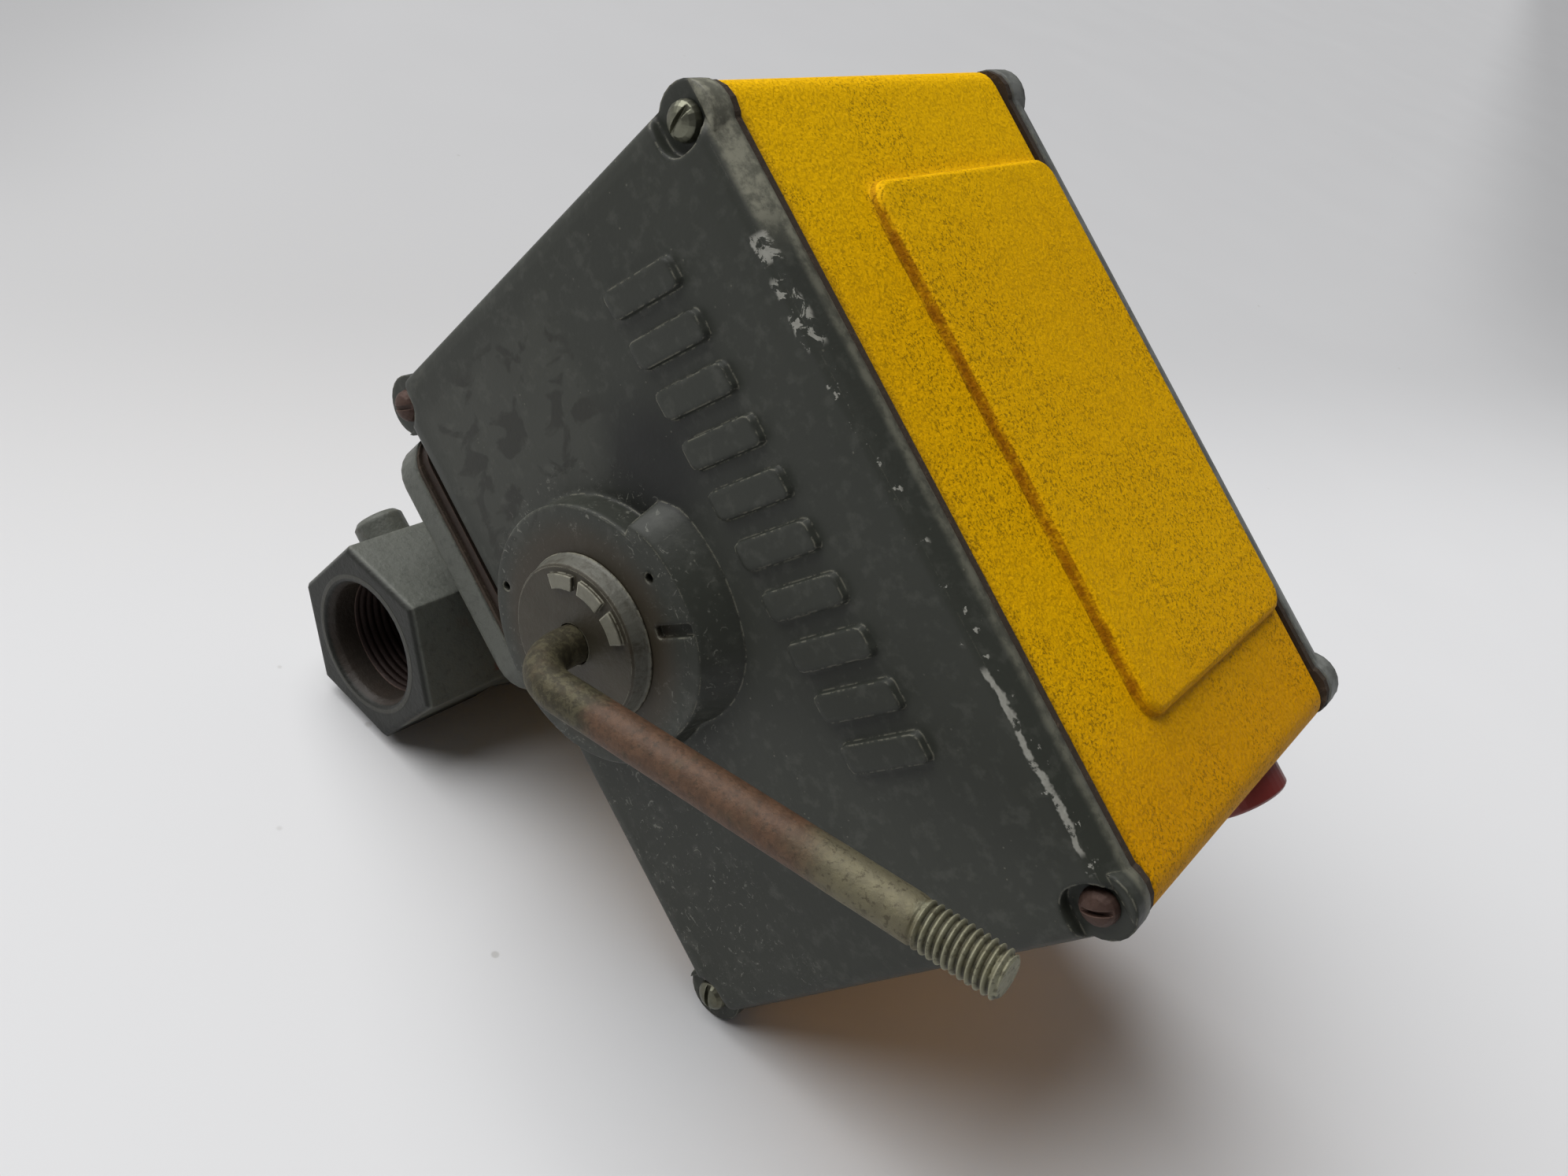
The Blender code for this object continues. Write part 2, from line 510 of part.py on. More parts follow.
ca, sa = math.cos(math.radians(ROD_ANGLE)), math.sin(math.radians(ROD_ANGLE))
rod_pts = [(SHAFT_X, DISC_Y1 - 0.2, SHAFT_Z)]
for k in range(9):
    a = math.radians(90 * k / 8)
    along = ROD_BEND_R * (1 - math.cos(a))
    out = ROD_Y + ROD_BEND_R * (1 - math.sin(a))
    rod_pts.append((SHAFT_X + along * ca, out, SHAFT_Z + along * sa))
rod_pts.append((SHAFT_X + (ROD_REACH - 1.0) * ca, ROD_Y, SHAFT_Z + (ROD_REACH - 1.0) * sa))
rod_pts.append((SHAFT_X + ROD_REACH * ca, ROD_Y, SHAFT_Z + ROD_REACH * sa))
rod = swept("handle_rod", rod_pts, ROD_R, "zinc", n=20)

travel = math.radians(HANDLE_TRAVEL)


def cam_point(theta, height):
    """Profile point that touches the flat crosshead after the cam has turned by theta."""
    x, z = LIFT_PER_RAD, height
    return (x * math.cos(theta) + z * math.sin(theta), -x * math.sin(theta) + z * math.cos(theta))


cam_outline = []
for k in range(17):  # lobe, from the shut contact round to the open contact
    theta = travel * k / 16
    cam_outline.append(cam_point(theta, CAM_BASE + LIFT_PER_RAD * theta))
lobe_end = cam_outline[-1]
lobe_start = cam_outline[0]
end_angle = math.atan2(lobe_end[1], lobe_end[0])
cam_outline.append((10.0 * math.cos(end_angle - 0.12), 10.0 * math.sin(end_angle - 0.12)))
start_angle = math.atan2(lobe_start[1], lobe_start[0])
start_r = math.hypot(*lobe_start)
for k in range(1, 15):  # hub, clockwise from the lobe's flank back to the shut contact
    a = end_angle - 0.12 - (2 * math.pi - (start_angle - end_angle) - 0.12) * k / 15
    cam_outline.append((10.5 * math.cos(a), 10.5 * math.sin(a)))
cam_outline.reverse()
cam = prism("lift_cam", "Y", [(SHAFT_X + u, SHAFT_Z + v) for u, v in cam_outline], CAM_Y[0], CAM_Y[1], "steel")
cut(cam, drill("cam_hole", "Y", SHAFT_X, SHAFT_Z, SHAFT_R + 0.2, CAM_Y[0] - 2, CAM_Y[1] + 2, n=32))
for piece in (shaft, shaft_ring, rotor, rod, cam):
    origin_to(piece, SHAFT_X, 0, SHAFT_Z)

# ---------------------------------------------------------------- stem, crosshead, spring
CROSS_Z0 = SHAFT_Z + CAM_BASE + 0.3
CROSS_Z1 = CROSS_Z0 + 8.0
stem = turned(
    "stem",
    "Z",
    0,
    STEM_Y,
    [(3.6, 0.6), (4.0, 1.2), (4.0, 13.2), (6.0, 13.4), (6.0, CROSS_Z0 - 0.3), (5.0, CROSS_Z0 - 0.1), (5.0, 148.0), (4.2, 149.0)],
    "steel",
    n=24,
)
crosshead = prism("crosshead", "Z", rounded(-10.8, 42.0, 50.0, 70.0, 2.0, n=3), CROSS_Z0, CROSS_Z1, "zinc")
cut(crosshead, drill("crosshead_hole", "Z", 0, STEM_Y, 5.2, CROSS_Z0 - 2, CROSS_Z1 + 2, n=24))
spring_plate = ring("spring_plate", "Z", 0, STEM_Y, 5.2, 10.8, CROSS_Z1 + 0.3, CROSS_Z1 + 2.3, "zinc", n=28)
SPRING_Z0, SPRING_Z1 = CROSS_Z1 + 2.6, 159.7
WIRE_R, COIL_R, TURNS = 1.35, 9.4, 6.5
coil = []
steps = int(TURNS * 16)
for k in range(steps + 1):
    t = k / steps
    a = 2 * math.pi * TURNS * t
    z = SPRING_Z0 + WIRE_R + (SPRING_Z1 - SPRING_Z0 - 2 * WIRE_R) * t
    coil.append((COIL_R * math.cos(a), STEM_Y + COIL_R * math.sin(a), z))
swept("closing_spring", coil, WIRE_R, "steel", n=7)
# Wedge on the crosshead's left end: one slope pushes the upper switch's plunger in, the other lets the lower one out.
TRIP_X, TRIP_IN = -14.2, 1.1
LIFT = LIFT_PER_RAD * travel
TRIP_Z = CROSS_Z0 + 4.0
trip = prism(
    "trip_wedge",
    "Y",
    [(-11.1, TRIP_Z - LIFT - 1.6), (-11.1, TRIP_Z + LIFT + 1.6), (TRIP_X + TRIP_IN, TRIP_Z + LIFT + 1.6), (TRIP_X, TRIP_Z + 1.0), (TRIP_X, TRIP_Z - 1.0), (TRIP_X + TRIP_IN, TRIP_Z - LIFT - 1.6)],
    57.0,
    63.0,
    "zinc",
)
for piece in (stem, crosshead, spring_plate, disc, disc_nut, trip):
    origin_to(piece, 0, STEM_Y, 0)

# ---------------------------------------------------------------- fixed mechanism frame
frame = prism("mechanism_frame", "Y", rounded(-30, 78, FLOOR_Z + 0.3, 163.0, 2.5, n=2), FRAME_Y[0], FRAME_Y[1], "zinc")
top_tab = prism("frame_top_tab", "Z", rounded(-16, 16, 47.5, FRAME_Y[1] - 0.5, 3, n=2), 160.0, 163.0)
foot_tab = prism("frame_foot_tab", "Z", rounded(-29, 76, FRAME_Y[0] + 0.5, 94.0, 2, n=2), FLOOR_Z + 0.3, FLOOR_Z + 3.3)
join(frame, top_tab, foot_tab)
cut(frame, *(drill(f"foot_clearance_{i}", "Z", bx, by, 6.2, FLOOR_Z - 2, FLOOR_Z + 6, n=18) for i, (bx, by) in enumerate(BOLTS) if by > STEM_Y))
cut(frame, drill("frame_bush_hole", "Y", SHAFT_X, SHAFT_Z, 9.2, FRAME_Y[0] - 3, FRAME_Y[1] + 3, n=32))
for i, (fx, fy) in enumerate(FRAME_SCREWS):
    cut(frame, drill(f"foot_hole_{i}", "Z", fx, fy, 2.4, FLOOR_Z - 2, FLOOR_Z + 6, n=14))
    screw = turned(
        f"frame_screw_{i + 1}",
        "Z",
        fx,
        fy,
        [(1.9, RZ0 + 1.4), (1.9, FLOOR_Z + 3.6), (4.0, FLOOR_Z + 3.6), (4.0, FLOOR_Z + 5.4), (3.0, FLOOR_Z + 6.4)],
        "zinc",
        n=16,
    )
for i, (bx, by) in enumerate(BOLTS):
    bolt = turned(
        f"bonnet_bolt_{i + 1}",
        "Z",
        bx,
        by,
        [(2.4, 39.3), (3.0, 40.0), (3.0, FLOOR_Z + 0.3), (5.0, FLOOR_Z + 0.3), (5.0, FLOOR_Z + 5.6), (4.5, FLOOR_Z + 6.2)],
        "steel",
        n=18,
    )
    cut(bolt, prism(f"bolt_socket_{i}", "Z", hexagon(bx, by, 5.0), FLOOR_Z + 3.2, FLOOR_Z + 8))

pin_angle = end_angle - 0.12 - math.asin((3.0 + 0.9) / 19.0)
pin_x, pin_z = SHAFT_X + 19.0 * math.cos(pin_angle), SHAFT_Z + 19.0 * math.sin(pin_angle)
turned("stop_pin", "Y", pin_x, pin_z, [(3.0, CAM_Y[1] - 5.0), (3.0, FRAME_Y[0] - GAP)], "steel", n=20)

# ---------------------------------------------------------------- latch and its magnet
LATCH_X, LATCH_Z = 62.0, 120.0
HOOK_Y = (62.0, 68.0)
latch_outline = [
    (66.0, 116.2),
    (104.0, 112.4),
    (104.0, 115.4),
    (67.5, 121.6),
    (64.0, 125.0),
    (59.5, 124.4),
    (57.2, 120.6),
    (55.4, 104.0),
    (46.2, 104.0),
    (46.2, 100.8),
    (58.6, 100.8),
    (60.4, 115.2),
    (62.6, 115.8),
]
latch = prism("latch_lever", "Y", latch_outline, HOOK_Y[0], HOOK_Y[1], "zinc")
cut(latch, drill("latch_hole", "Y", LATCH_X, LATCH_Z, 2.58, HOOK_Y[0] - 2, HOOK_Y[1] + 2, n=40))
origin_to(latch, LATCH_X, 0, LATCH_Z)
turned("latch_pin", "Y", LATCH_X, LATCH_Z, [(2.5, HOOK_Y[0] - 3), (2.5, FRAME_Y[0] - GAP)], "steel", n=40)
MAG_X, MAG_Y = 92.0, 65.0
yoke = prism("magnet_yoke", "Y", [(76, 57.5), (110, 57.5), (110, 106.5), (107, 106.5), (107, 60.5), (76, 60.5)], MAG_Y - 10, MAG_Y + 10, "steel")
cut(yoke, drill("yoke_hole", "Z", MAG_X, MAG_Y, 4.2, 50, 70, n=20))
turned("magnet_core", "Z", MAG_X, MAG_Y, [(4.0, 57.0), (4.0, 61.0), (5.6, 61.0), (5.6, 104.0), (5.0, 104.6)], "steel", n=24)
magnet_coil = ring("magnet_coil", "Z", MAG_X, MAG_Y, 5.9, 12.8, 61.4, 99.0, "copper", n=32, chamfer=1.0)

# ---------------------------------------------------------------- switches and terminals
for label, zc, tip in (("closed", TRIP_Z, TRIP_X - GAP), ("open", TRIP_Z + LIFT, TRIP_X + TRIP_IN - GAP)):
    sw = prism(f"switch_{label}", "X", rounded(54.0, FRAME_Y[0] - GAP, zc - 4.7, zc + 4.7, 1.0, n=2), -31.0, -17.0, "black")
    cut(sw, drill(f"switch_hole_{label}", "X", 60.0, zc, 1.7, -24.0, -15.0, n=14))
    plunger = turned(f"switch_plunger_{label}", "X", 60.0, zc, [(1.5, -22.0), (1.5, tip - 0.7), (0.9, tip)], "red", n=14)
    origin_to(plunger, -17.0, 60.0, zc)
block = prism("terminal_block", "Y", [(-45.9, 126.0), (-34.0, 126.0), (-34.0, 141.0), (-38.0, 146.0), (-45.9, 146.0)], 36.0, 104.0, "black")
TERMINALS = [44.0, 61.0, 78.0, 95.0]
for i, ty in enumerate(TERMINALS):
    cut(block, drill(f"terminal_hole_{i}", "X", ty, 133.0, 2.3, -41.0, -30.0, n=14))
    screw = turned(f"terminal_screw_{i + 1}", "X", ty, 133.0, [(2.0, -40.0), (2.0, -33.7), (3.6, -33.7), (3.6, -31.6), (2.8, -31.0)], "brass", n=16)

# ---------------------------------------------------------------- conduit plug
plug = turned(
    "conduit_plug",
    "X",
    PLUG_Y,
    PLUG_Z,
    [(9.0, RX1 - WALL - 2.0), (9.7, RX1 - WALL - 1.0), (9.7, RX1 + 0.3), (10.6, RX1 + 0.3), (10.6, RX1 + 6.0), (10.0, RX1 + 6.6)],
    "red",
    n=36,
)
cut(plug, prism("plug_recess", "X", rounded(PLUG_Y - 4.5, PLUG_Y + 4.5, PLUG_Z - 4.5, PLUG_Z + 4.5, 0.8, n=1), RX1 + 4.0, RX1 + 12))
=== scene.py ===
import math

import bmesh
import bpy
from mathutils import Matrix, Vector


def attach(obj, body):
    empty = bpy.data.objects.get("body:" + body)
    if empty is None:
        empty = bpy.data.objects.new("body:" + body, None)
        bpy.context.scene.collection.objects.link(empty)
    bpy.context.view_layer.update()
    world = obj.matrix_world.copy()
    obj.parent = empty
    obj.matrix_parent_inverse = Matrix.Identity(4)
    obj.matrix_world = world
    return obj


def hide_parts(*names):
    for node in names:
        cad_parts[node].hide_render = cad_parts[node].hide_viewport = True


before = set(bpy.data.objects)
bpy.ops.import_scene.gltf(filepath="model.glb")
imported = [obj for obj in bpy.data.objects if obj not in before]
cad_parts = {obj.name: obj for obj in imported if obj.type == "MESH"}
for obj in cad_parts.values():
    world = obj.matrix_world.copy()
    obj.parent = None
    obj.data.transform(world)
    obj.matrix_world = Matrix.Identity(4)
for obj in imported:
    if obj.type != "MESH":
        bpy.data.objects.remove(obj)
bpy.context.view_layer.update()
MM = 0.001
UP = Vector((-0.52505, 0.0, 0.85107)).normalized()  # the table's upward direction, seen from the part lying on it
TARGET = Vector((0.036, 0.060, 0.090))


# ------------------------------------------------------------------ colour and node helpers
def srgb(r, g, b):
    out = []
    for c in (r, g, b):
        c /= 255.0
        out.append(c / 12.92 if c <= 0.04045 else ((c + 0.055) / 1.055) ** 2.4)
    return (*out, 1.0)


def scaled(c, k):
    return (min(c[0] * k, 1.0), min(c[1] * k, 1.0), min(c[2] * k, 1.0), 1.0)


class Graph:
    """A Principled material put together from procedural nodes in the object's own coordinates."""

    def __init__(self, name):
        self.mat = bpy.data.materials.new(name)
        self.mat.use_nodes = True
        self.tree = self.mat.node_tree
        self.bsdf = self.tree.nodes["Principled BSDF"]
        self.coord = self.tree.nodes.new("ShaderNodeTexCoord").outputs["Object"]
        self.height = None

    def link(self, a, b):
        self.tree.links.new(a, b)

    def put(self, value, socket):
        if hasattr(value, "links"):
            self.link(value, socket)
        else:
            socket.default_value = value

    def mapping(self, scale=(1, 1, 1), location=(0, 0, 0), rotation=(0, 0, 0)):
        n = self.tree.nodes.new("ShaderNodeMapping")
        n.inputs["Scale"].default_value = scale
        n.inputs["Location"].default_value = location
        n.inputs["Rotation"].default_value = rotation
        self.link(self.coord, n.inputs["Vector"])
        return n.outputs["Vector"]

    def noise(self, scale, detail=4.0, rough=0.55, distortion=0.0, vector=None, seed=None):
        n = self.tree.nodes.new("ShaderNodeTexNoise")
        if seed is not None:
            n.noise_dimensions = "4D"
            n.inputs["W"].default_value = seed
        n.inputs["Scale"].default_value = scale
        n.inputs["Detail"].default_value = detail
        n.inputs["Roughness"].default_value = rough
        n.inputs["Distortion"].default_value = distortion
        self.link(vector or self.coord, n.inputs["Vector"])
        return n.outputs["Fac"]

    def voronoi(self, scale, feature="F1", vector=None, randomness=1.0):
        n = self.tree.nodes.new("ShaderNodeTexVoronoi")
        n.feature = feature
        n.inputs["Scale"].default_value = scale
        n.inputs["Randomness"].default_value = randomness
        self.link(vector or self.coord, n.inputs["Vector"])
        return n.outputs["Distance"]

    def step(self, value, lo, hi, out_lo=0.0, out_hi=1.0):
        """Smooth ramp from out_lo at lo to out_hi at hi."""
        n = self.tree.nodes.new("ShaderNodeMapRange")
        n.interpolation_type = "SMOOTHSTEP"
        n.inputs["From Min"].default_value = lo
        n.inputs["From Max"].default_value = hi
        n.inputs["To Min"].default_value = out_lo
        n.inputs["To Max"].default_value = out_hi
        self.link(value, n.inputs["Value"])
        return n.outputs["Result"]

    def math(self, op, a, b=0.0, c=0.0, clamp=False):
        n = self.tree.nodes.new("ShaderNodeMath")
        n.operation = op
        n.use_clamp = clamp
        self.put(a, n.inputs[0])
        self.put(b, n.inputs[1])
        if op in ("MULTIPLY_ADD", "COMPARE"):
            self.put(c, n.inputs[2])
        return n.outputs[0]

    def mul(self, *vals):
        out = vals[0]
        for v in vals[1:]:
            out = self.math("MULTIPLY", out, v)
        return out

    def add(self, *vals):
        out = vals[0]
        for v in vals[1:]:
            out = self.math("ADD", out, v)
        return out

    def xyz(self, vector=None):
        n = self.tree.nodes.new("ShaderNodeSeparateXYZ")
        self.link(vector or self.coord, n.inputs[0])
        return n.outputs

    def band(self, value, lo, hi, soft):
        """1 between lo and hi, falling to 0 over soft on each side."""
        return self.mul(self.step(value, lo - soft, lo), self.step(value, hi, hi + soft, 1.0, 0.0))

    def distance(self, point):
        n = self.tree.nodes.new("ShaderNodeVectorMath")
        n.operation = "DISTANCE"
        self.link(self.coord, n.inputs[0])
        n.inputs[1].default_value = point
        return n.outputs["Value"]

    def axis_distance(self, point, direction):
        sub = self.tree.nodes.new("ShaderNodeVectorMath")
        sub.operation = "SUBTRACT"
        self.link(self.coord, sub.inputs[0])
        sub.inputs[1].default_value = point
        cross = self.tree.nodes.new("ShaderNodeVectorMath")
        cross.operation = "CROSS_PRODUCT"
        self.link(sub.outputs["Vector"], cross.inputs[0])
        cross.inputs[1].default_value = direction
        size = self.tree.nodes.new("ShaderNodeVectorMath")
        size.operation = "LENGTH"
        self.link(cross.outputs["Vector"], size.inputs[0])
        return size.outputs["Value"]

    def along(self, direction, offset=0.0):
        n = self.tree.nodes.new("ShaderNodeVectorMath")
        n.operation = "DOT_PRODUCT"
        self.link(self.coord, n.inputs[0])
        n.inputs[1].default_value = direction
        return self.math("SUBTRACT", n.outputs["Value"], offset)

    def mix(self, fac, a, b):
        n = self.tree.nodes.new("ShaderNodeMix")
        n.data_type = "RGBA"
        self.put(fac, n.inputs["Factor"])
        self.put(a, n.inputs[6])
        self.put(b, n.inputs[7])
        return n.outputs[2]

    def mixf(self, fac, a, b):
        n = self.tree.nodes.new("ShaderNodeMix")
        self.put(fac, n.inputs["Factor"])
        self.put(a, n.inputs[2])
        self.put(b, n.inputs[3])
        return n.outputs[0]

    def edge(self, radius, lo=0.02, hi=0.25):
        """Mask of outer and inner edges within radius, from how far the rounded normal leans from the face's own."""
        bevel = self.tree.nodes.new("ShaderNodeBevel")
        bevel.samples = 6
        bevel.inputs["Radius"].default_value = radius
        geo = self.tree.nodes.new("ShaderNodeNewGeometry")
        dot = self.tree.nodes.new("ShaderNodeVectorMath")
        dot.operation = "DOT_PRODUCT"
        self.link(bevel.outputs["Normal"], dot.inputs[0])
        self.link(geo.outputs["Normal"], dot.inputs[1])
        return self.step(self.math("SUBTRACT", 1.0, dot.outputs["Value"]), lo, hi)

    def bump(self, height, strength=0.5, distance=0.0004, normal=None):
        n = self.tree.nodes.new("ShaderNodeBump")
        n.inputs["Strength"].default_value = strength
        n.inputs["Distance"].default_value = distance
        self.link(height, n.inputs["Height"])
        if normal is not None:
            self.link(normal, n.inputs["Normal"])
        return n.outputs["Normal"]

    def rounded(self, radius, samples=6):
        n = self.tree.nodes.new("ShaderNodeBevel")
        n.samples = samples
        n.inputs["Radius"].default_value = radius
        return n.outputs["Normal"]

    def finish(self, colour, rough, metal=0.0, normal=None, coat=0.0, coat_rough=0.2, spec=0.5):
        b = self.bsdf
        self.put(colour, b.inputs["Base Color"])
        self.put(rough, b.inputs["Roughness"])
        self.put(metal, b.inputs["Metallic"])
        b.inputs["Specular IOR Level"].default_value = spec
        b.inputs["Coat Weight"].default_value = coat
        b.inputs["Coat Roughness"].default_value = coat_rough
        if normal is not None:
            self.link(normal, b.inputs["Normal"])
        return self.mat


# ------------------------------------------------------------------ finishes
def grey_paint(name, front=True):
    g = Graph(name)
    x, y, z = g.xyz()
    base = g.mix(g.noise(28, 5, 0.6), srgb(45, 47, 41), srgb(54, 56, 49))
    base = g.mix(g.mul(g.step(g.noise(260, 4, 0.6), 0.5, 0.72), 0.35), base, srgb(82, 83, 76))
    rough = g.mixf(g.noise(60, 4), 0.42, 0.60)
    if front:
        # grease-dark blotches left of the boss
        zone = g.mul(g.band(x, -0.036, -0.002, 0.007), g.band(z, 0.062, 0.112, 0.008))
        spots = g.mul(g.step(g.noise(130, 3, 0.55, 0.6, g.mapping((1.0, 1.0, 0.75), rotation=(0, 0.6, 0))), 0.52, 0.62), zone)
        base = g.mix(g.mul(spots, 0.85), base, srgb(34, 34, 27))
        base = g.mix(g.mul(zone, 0.22), base, srgb(84, 85, 77))
        base = g.mix(g.mul(spots, 0.55), base, srgb(36, 36, 30))
        # paint worn off along the upper edge's ridge: two clusters, a long thin scrape near the corner, dots between
        zz = g.add(z, g.mul(g.math("SUBTRACT", g.noise(120, 4, 0.65), 0.5), 0.0034))
        line = g.mul(g.band(zz, 0.1744, 0.1751, 0.0003), g.step(y, 0.0125, 0.0115))
        scrape = g.mul(line, g.band(x, 0.073, 0.109, 0.002), g.step(g.noise(210, 5, 0.7), 0.40, 0.47))
        wide = g.mul(g.band(zz, 0.1732, 0.1760, 0.0006), g.step(y, 0.0125, 0.0115))
        cluster = g.mul(wide, g.math("MAXIMUM", g.band(x, -0.018, -0.013, 0.001), g.band(x, -0.0085, 0.004, 0.002)), g.step(g.noise(330, 5, 0.7, 0.6), 0.505, 0.535))
        dots = g.mul(wide, g.band(x, 0.004, 0.112, 0.003), g.step(g.noise(380, 4, 0.65), 0.635, 0.665))
        worn = g.math("MAXIMUM", g.math("MAXIMUM", scrape, cluster), dots)
        base = g.mix(g.mul(worn, 0.9), base, g.mix(g.noise(900, 3), srgb(132, 131, 122), srgb(176, 175, 166)))
        # the paint next to the gasket is rubbed paler
        lip = g.mul(g.step(y, 0.0140, 0.0158), g.step(z, 0.1758, 0.1768))
        lip = g.math("MAXIMUM", lip, g.mul(g.step(x, -0.010, -0.026), g.step(z, 0.1752, 0.1764)))
        lip = g.mul(lip, g.mixf(g.step(g.noise(260, 4, 0.7), 0.38, 0.60), 0.40, 1.0))
        base = g.mix(g.mul(lip, 0.80), base, g.mix(g.step(x, -0.005, -0.026), srgb(112, 111, 97), srgb(150, 148, 130)))
        # painted shade above the boss, in the recess there
        hollow_shade = g.mul(g.step(g.distance((0.0050, 0.009, 0.1230)), 0.022, 0.005), g.step(y, 0.0075, 0.0088))
        base = g.mix(g.mul(hollow_shade, 0.9), base, srgb(18, 19, 17))
        # fine pale scuffs on the lower right and beside the boss
        scuff_zone = g.math("MAXIMUM", g.mul(g.step(x, 0.030, 0.075), g.step(z, 0.105, 0.075)), g.mul(g.step(g.distance((0.0298, 0.004, 0.0862)), 0.034, 0.042, 1.0, 0.0), 0.9))
        scuffs = g.mul(g.step(g.noise(520, 5, 0.72, 1.2), 0.605, 0.645), scuff_zone)
        base = g.mix(g.mul(scuffs, 0.75), base, srgb(120, 120, 111))
        # brown grime on the boss's flat around the turning disc
        ring = g.mul(g.step(g.distance((0.0298, 0.0014, 0.0862)), 0.0300, 0.0225), g.step(y, 0.0060, 0.0045))
        base = g.mix(g.mul(ring, g.mixf(g.noise(90, 4), 0.55, 1.0)), base, srgb(58, 49, 35))
    else:
        # the top rim, rubbed pale
        rim = g.mul(g.step(z, 0.1752, 0.1764), g.mixf(g.step(g.noise(200, 4, 0.7), 0.40, 0.60), 0.55, 1.0))
        base = g.mix(g.mul(rim, 0.8), base, srgb(128, 130, 126))
    wear = g.mul(g.edge(0.0008, 0.03, 0.16), g.step(g.noise(420, 5, 0.72), 0.46, 0.56))
    base = g.mix(g.mul(wear, 0.8), base, srgb(136, 134, 118))
    specks = g.step(g.voronoi(420), 0.12, 0.07)
    specks = g.mul(specks, g.step(g.noise(45, 2), 0.50, 0.62))
    base = g.mix(g.mul(specks, 0.5), base, srgb(112, 111, 98))
    height = g.add(g.mul(g.noise(900, 4, 0.6), 0.55), g.mul(g.noise(140, 3), 0.8))
    normal = g.bump(height, 0.40, 0.00024, g.rounded(0.0018, 8))
    return g.finish(base, rough, 0.0, normal, spec=0.34)


def yellow_enamel():
    g = Graph("yellow_enamel")
    x, y, z = g.xyz()
    base = g.mix(g.noise(24, 5, 0.6), srgb(241, 181, 0), srgb(247, 188, 0))
    base = g.mix(g.mul(g.step(g.noise(640, 4, 0.65), 0.50, 0.70), 0.40), base, srgb(246, 192, 4))
    base = g.mix(g.mul(g.step(g.noise(2400, 3, 0.6), 0.46, 0.60), 0.30), base, srgb(198, 142, 0))
    # painted highlight: lighter towards the left end, where more light falls; darker and more orange towards the right
    # end
    base = g.mix(g.mul(g.step(x, 0.010, -0.040), 0.8), base, srgb(255, 198, 0))
    base = g.mix(g.mul(g.step(x, 0.075, 0.120), 0.55), base, srgb(212, 138, 0))
    # grey dirt caught in the cast skin's pits, thicker on the lifted panel's right end
    pits = g.step(g.noise(1500, 6, 0.75), 0.545, 0.60)
    patch = g.step(g.add(g.noise(26, 5, 0.65), g.mul(g.step(x, -0.05, 0.12), 0.10)), 0.46, 0.60)
    base = g.mix(g.mul(pits, g.mixf(patch, 0.10, 0.72)), base, srgb(128, 94, 8))
    streak = g.mul(g.step(g.noise(150, 4, 0.6, 0.6, g.mapping((1.0, 0.35, 1.0))), 0.62, 0.75), 0.30)
    base = g.mix(streak, base, srgb(168, 118, 2))
    # painted shade in the corner round the panel's foot; brown grime along the gasket
    around = g.mul(g.band(z, 0.1781, 0.1789, 0.0002), g.mixf(g.noise(120, 4), 0.3, 1.0))
    base = g.mix(g.mul(around, 0.75), base, srgb(160, 98, 2))
    # painted shade along the foot of the panel's front edge
    panel_foot_shade = g.mul(g.band(g.add(y, g.mul(g.math("SUBTRACT", g.noise(60, 3), 0.5), 0.0008)), 0.0443, 0.0455, 0.0003), g.band(x, -0.016, 0.092, 0.003), g.mixf(g.step(g.noise(170, 4, 0.7), 0.36, 0.56), 0.25, 1.0))
    base = g.mix(g.mul(panel_foot_shade, 0.75), base, srgb(150, 88, 2))
    seam = g.mul(g.step(y, 0.0222, 0.0199), g.mixf(g.noise(160, 4), 0.1, 0.9))
    base = g.mix(g.mul(seam, 0.65), base, srgb(120, 84, 22))
    low = g.step(z, 0.060, 0.046)
    base = g.mix(g.mul(low, g.mixf(g.noise(80, 4), 0.1, 0.7)), base, srgb(120, 92, 34))
    chips = g.mul(g.edge(0.0010, 0.10, 0.45), g.step(g.noise(230, 5, 0.7), 0.60, 0.66))
    base = g.mix(g.mul(chips, 0.8), base, srgb(96, 84, 60))
    rough = g.mixf(g.noise(220, 4), 0.45, 0.62)
    height = g.add(g.mul(g.noise(1200, 5, 0.62), 0.9), g.mul(g.noise(170, 3), 0.8), g.mul(pits, -0.25))
    normal = g.bump(height, 0.85, 0.00055, g.rounded(0.0022, 8))
    return g.finish(base, rough, 0.0, normal, spec=0.05)


